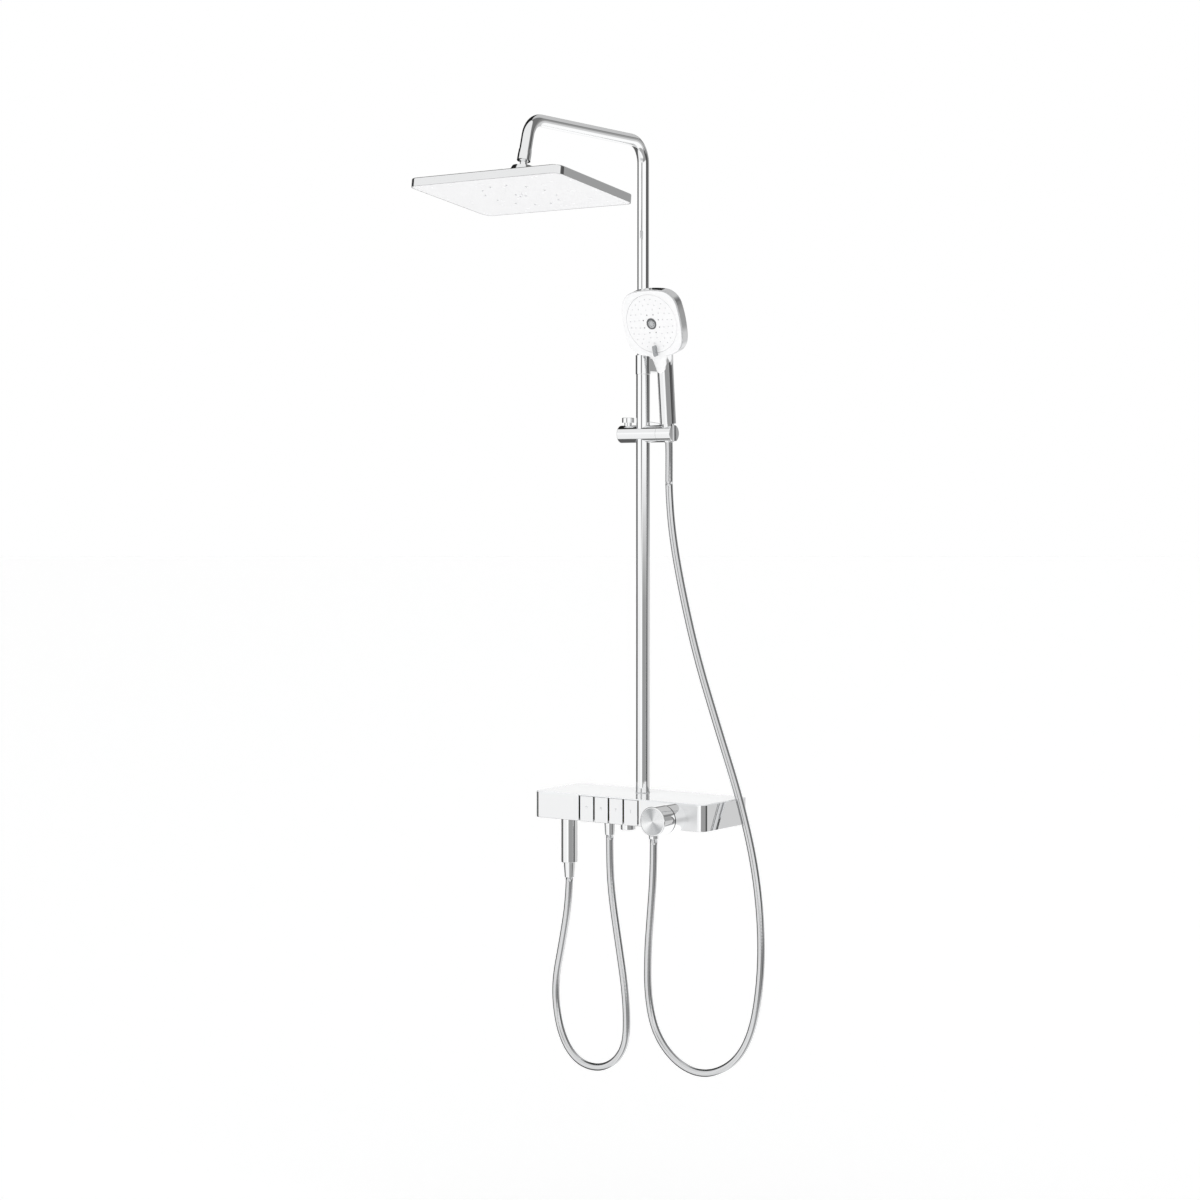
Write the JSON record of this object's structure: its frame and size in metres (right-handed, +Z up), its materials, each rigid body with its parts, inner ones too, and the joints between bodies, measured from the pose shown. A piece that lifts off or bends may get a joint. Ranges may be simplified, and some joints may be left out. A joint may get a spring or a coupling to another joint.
{
  "type": "thermostatic rainfall shower column",
  "caption": "Wall-hung shower column: shelf mixer with push keys and a temperature knob, gooseneck rain head, sliding handset and spray gun.",
  "frame": {"origin": "on the wall plane, midway between the two water inlets, at the shelf's mid height", "axes": "+X to the right seen from the front, +Y into the wall, +Z up the riser"},
  "size_m": [0.4635, 0.5578, 1.7596],
  "materials": {
    "chrome": "polished chrome",
    "chromed_plastic": "chrome plated",
    "white_glass": "back-painted, glossy",
    "white_plastic": "satin white",
    "grey_silicone": "matt",
    "brushed_metal": "spun",
    "steel": "plain",
    "brass": "cast and turned",
    "black_rubber": "matt",
    "inner_plastic": "moulded",
    "silver_hose": "smooth silver"
  },
  "bodies": {
    "mixer": {"shelf_housing": "chrome", "shelf_top_glass": "white_glass", "shelf_back_cover": "inner_plastic", "shelf_screws": "steel", "valve_body": "brass", "inlet_union_nuts": "chrome", "inlet_gaskets": "grey_silicone", "push_valves": "brass", "key_springs": "steel", "thermostatic_cartridge": "inner_plastic", "knob_sleeve": "chrome", "lower_riser": "chrome", "riser_base_seal": "black_rubber", "riser_nut": "brass", "wall_bracket": "chrome", "bracket_foot": "steel", "bracket_grub_screw": "steel", "riser_liner": "inner_plastic", "bottom_spout": "chrome", "spout_aerator": "inner_plastic", "outlet_nipples": "chrome", "handset_hose_end_nut": "chrome", "gun_hose_end_nut": "chrome", "gun_socket": "inner_plastic", "handset_hose": "silver_hose", "gun_hose": "silver_hose"},
    "riser_guide": {"guide_bush": "inner_plastic", "riser_o_rings": "black_rubber"},
    "arm": {"gooseneck_arm": "chrome", "ball_joint_nut": "chrome"},
    "ball": {"swivel_ball": "chrome"},
    "overhead": {"overhead_shell": "chromed_plastic", "overhead_collar": "inner_plastic", "overhead_face": "white_plastic", "overhead_nozzles": "grey_silicone", "overhead_water_plate": "inner_plastic", "overhead_screws": "steel"},
    "slider": {"slider_bar": "chrome", "slider_bush": "inner_plastic", "release_spring": "steel"},
    "release_button": {"release_button": "chrome"},
    "holder_end": {"holder_end": "chrome", "holder_pivot_screw": "steel"},
    "handset": {"handset_cone_nut": "chrome", "handset_shell": "chromed_plastic", "handset_face": "white_plastic", "handset_flow_plate": "inner_plastic", "dial_centre": "brushed_metal"},
    "spray_dial": {"spray_dial": "white_plastic", "dial_nozzles": "grey_silicone"},
    "rain_key": {"rain_key": "chromed_plastic"},
    "handset_key": {"handset_key": "chromed_plastic"},
    "spout_key": {"spout_key": "chromed_plastic"},
    "gun_key": {"gun_key": "chromed_plastic"},
    "temperature_knob": {"temperature_knob": "chrome", "knob_disc": "brushed_metal", "cartridge_spindle": "brass"},
    "spray_gun": {"spray_gun_body": "chrome", "spray_gun_nozzle": "inner_plastic", "spray_gun_tail": "chrome"}
  },
  "joints": [
    {"name": "riser_height", "type": "slide", "parent": "mixer", "child": "riser_guide", "axis": [0, 0, 1], "range_m": [-0.1, 0.15]},
    {"name": "arm_swing", "type": "hinge", "parent": "riser_guide", "child": "arm", "pos_m": [0, -0.07, 0.8], "axis": [0, 0, 1], "range_deg": [-45, 45]},
    {"name": "overhead_tilt", "type": "hinge", "parent": "arm", "child": "ball", "pos_m": [0, -0.43661, 1.1697], "axis": [1, 0, 0], "range_deg": [-14, 10]},
    {"name": "overhead_spin", "type": "hinge", "parent": "ball", "child": "overhead", "pos_m": [0, -0.43661, 1.1697], "axis": [0, 0.1357, 0.9907], "continuous": true},
    {"name": "slider_height", "type": "slide", "parent": "mixer", "child": "slider", "axis": [0, 0, 1], "range_m": [-0.5, 0.08], "deforming": ["handset_hose"]},
    {"name": "release_press", "type": "slide", "parent": "slider", "child": "release_button", "axis": [0, 0, 1], "range_m": [-0.003, 0], "stiffness_N_per_m": 900, "springref_m": 0.001, "deforming": ["release_spring"]},
    {"name": "holder_tilt", "type": "hinge", "parent": "slider", "child": "holder_end", "pos_m": [0.038, -0.07, 0.699], "axis": [1, 0, 0], "range_deg": [-2, 25], "deforming": ["handset_hose"]},
    {"name": "handset_lift", "type": "slide", "parent": "holder_end", "child": "handset", "axis": [0, -0.0941, 0.9956], "range_m": [0, 0.06], "deforming": ["handset_hose"]},
    {"name": "dial_turn", "type": "hinge", "parent": "handset", "child": "spray_dial", "pos_m": [0.0575, -0.12314, 0.89989], "axis": [0, -0.9511, -0.309], "range_deg": [-24, 24]},
    {"name": "rain_press", "type": "slide", "parent": "mixer", "child": "rain_key", "axis": [0, 1, 0], "range_m": [0, 0.004], "stiffness_N_per_m": 700, "springref_m": -0.001, "deforming": ["key_springs"]},
    {"name": "handset_press", "type": "slide", "parent": "mixer", "child": "handset_key", "axis": [0, 1, 0], "range_m": [0, 0.004], "stiffness_N_per_m": 700, "springref_m": -0.001, "deforming": ["key_springs"]},
    {"name": "spout_press", "type": "slide", "parent": "mixer", "child": "spout_key", "axis": [0, 1, 0], "range_m": [0, 0.004], "stiffness_N_per_m": 700, "springref_m": -0.001, "deforming": ["key_springs"]},
    {"name": "gun_press", "type": "slide", "parent": "mixer", "child": "gun_key", "axis": [0, 1, 0], "range_m": [0, 0.004], "stiffness_N_per_m": 700, "springref_m": -0.001, "deforming": ["key_springs"]},
    {"name": "temperature_turn", "type": "hinge", "parent": "mixer", "child": "temperature_knob", "pos_m": [0.1335, -0.2, -0.0025], "axis": [0, -1, 0], "range_deg": [-120, 120]},
    {"name": "gun_pull", "type": "slide", "parent": "mixer", "child": "spray_gun", "axis": [0, 0, -1], "range_m": [0, 0.06], "deforming": ["gun_hose"]}
  ]
}
